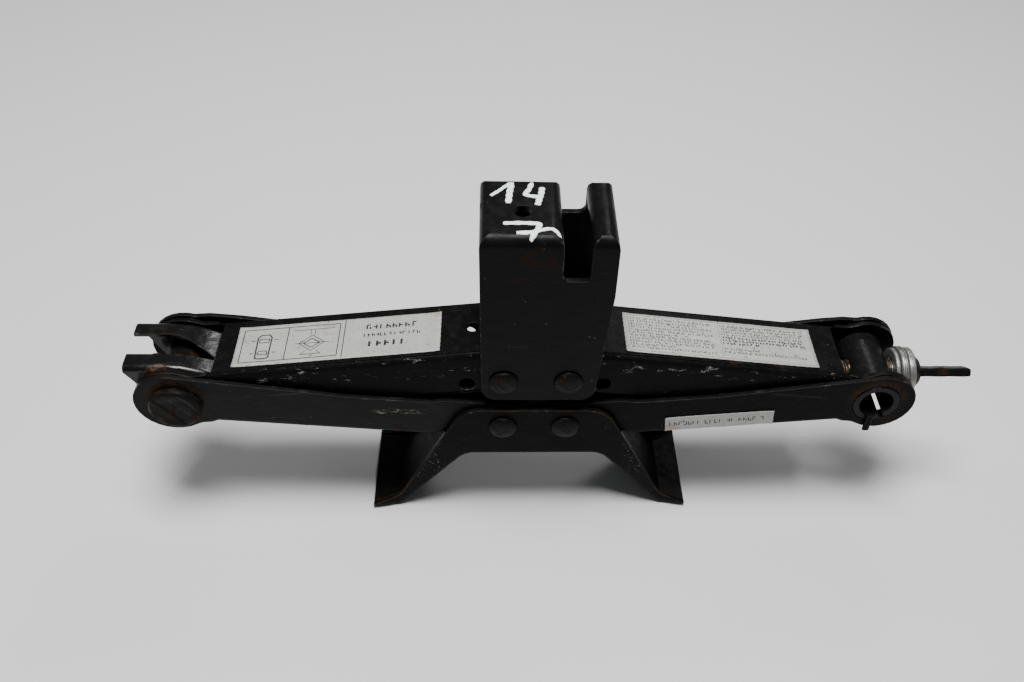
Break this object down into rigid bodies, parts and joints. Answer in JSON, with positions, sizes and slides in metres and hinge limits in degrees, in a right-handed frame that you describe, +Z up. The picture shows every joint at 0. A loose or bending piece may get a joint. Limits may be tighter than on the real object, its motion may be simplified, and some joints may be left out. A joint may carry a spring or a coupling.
{
  "type": "pantograph screw jack",
  "caption": "Low pantograph jack of pressed steel arms between an arched base and a tall slotted saddle, raised by one cross screw.",
  "frame": {"origin": "on the floor under the middle of the overall box", "axes": "+Z up, +X along the screw towards the drive tongue, +Y across the jack towards its plain rear side"},
  "size_m": [0.4262, 0.0552, 0.1848],
  "materials": {
    "black_paint": "worn semi-gloss",
    "rusty_steel": "rusty",
    "worn_steel": "worn",
    "greased_thread": "greased",
    "silver_label": "printed foil"
  },
  "bodies": {
    "base": {"base_bracket": "black_paint", "base_rivet_left": "rusty_steel", "base_rivet_left_rear": "rusty_steel", "base_rivet_right": "rusty_steel", "base_rivet_right_rear": "rusty_steel"},
    "lower_left": {"lower_arm_left": "black_paint"},
    "lower_right": {"lower_arm_right": "black_paint", "model_plate": "silver_label"},
    "upper_left": {"upper_arm_left": "black_paint", "rating_plate": "silver_label"},
    "upper_right": {"upper_arm_right": "black_paint", "notes_plate": "silver_label"},
    "head": {"head_bracket": "black_paint", "head_rivet_left": "rusty_steel", "head_rivet_left_rear": "rusty_steel", "head_rivet_right": "rusty_steel", "head_rivet_right_rear": "rusty_steel"},
    "nut": {"nut_bracket": "black_paint", "nut_pin": "rusty_steel", "nut_pin_rear_head": "rusty_steel"},
    "bearing": {"bearing_trunnion": "black_paint", "trunnion_tab": "black_paint", "thrust_washer_inner": "worn_steel"},
    "screw": {"screw": "greased_thread", "screw_collar": "rusty_steel", "thrust_bearing": "worn_steel", "thrust_washer_outer": "worn_steel", "screw_end_stop": "rusty_steel"}
  },
  "joints": [
    {"name": "lift", "type": "hinge", "parent": "base", "child": "lower_left", "pos_m": [-0.03165, 0, 0.0648], "axis": [0, 1, 0], "range_deg": [0, 52]},
    {"name": "lower_right_turn", "type": "hinge", "parent": "base", "child": "lower_right", "pos_m": [-0.00015, 0, 0.0648], "axis": [0, 1, 0], "range_deg": [-52.5, 0.5]},
    {"name": "upper_left_turn", "type": "hinge", "parent": "lower_left", "child": "upper_left", "pos_m": [-0.18967, 0, 0.08057], "axis": [0, 1, 0], "range_deg": [-105, 1]},
    {"name": "upper_right_turn", "type": "hinge", "parent": "lower_right", "child": "upper_right", "pos_m": [0.15787, 0, 0.08057], "axis": [0, 1, 0], "range_deg": [-1, 105]},
    {"name": "head_turn", "type": "hinge", "parent": "upper_left", "child": "head", "pos_m": [-0.03165, 0, 0.09634], "axis": [0, 1, 0], "range_deg": [-0.5, 52.5]},
    {"name": "nut_turn", "type": "hinge", "parent": "lower_left", "child": "nut", "pos_m": [-0.18967, 0, 0.08057], "axis": [0, 1, 0], "range_deg": [-52.5, 0.5]},
    {"name": "bearing_turn", "type": "hinge", "parent": "lower_right", "child": "bearing", "pos_m": [0.15787, 0, 0.08057], "axis": [0, 1, 0], "range_deg": [-0.5, 52.5]},
    {"name": "screw_turn", "type": "hinge", "parent": "bearing", "child": "screw", "pos_m": [0.15787, 0, 0.08057], "axis": [1, 0, 0], "range_deg": [-17581, 20]}
  ],
  "couplings": [
    {"joint": "lower_right_turn", "follows": "lift", "ratio": -1},
    {"joint": "upper_left_turn", "follows": "lift", "ratio": -2},
    {"joint": "upper_right_turn", "follows": "lift", "ratio": 2},
    {"joint": "head_turn", "follows": "lift", "ratio": 1},
    {"joint": "nut_turn", "follows": "lift", "ratio": -1},
    {"joint": "bearing_turn", "follows": "lift", "ratio": 1},
    {"joint": "screw_turn", "follows": "lift", "ratio": -337.7}
  ]
}
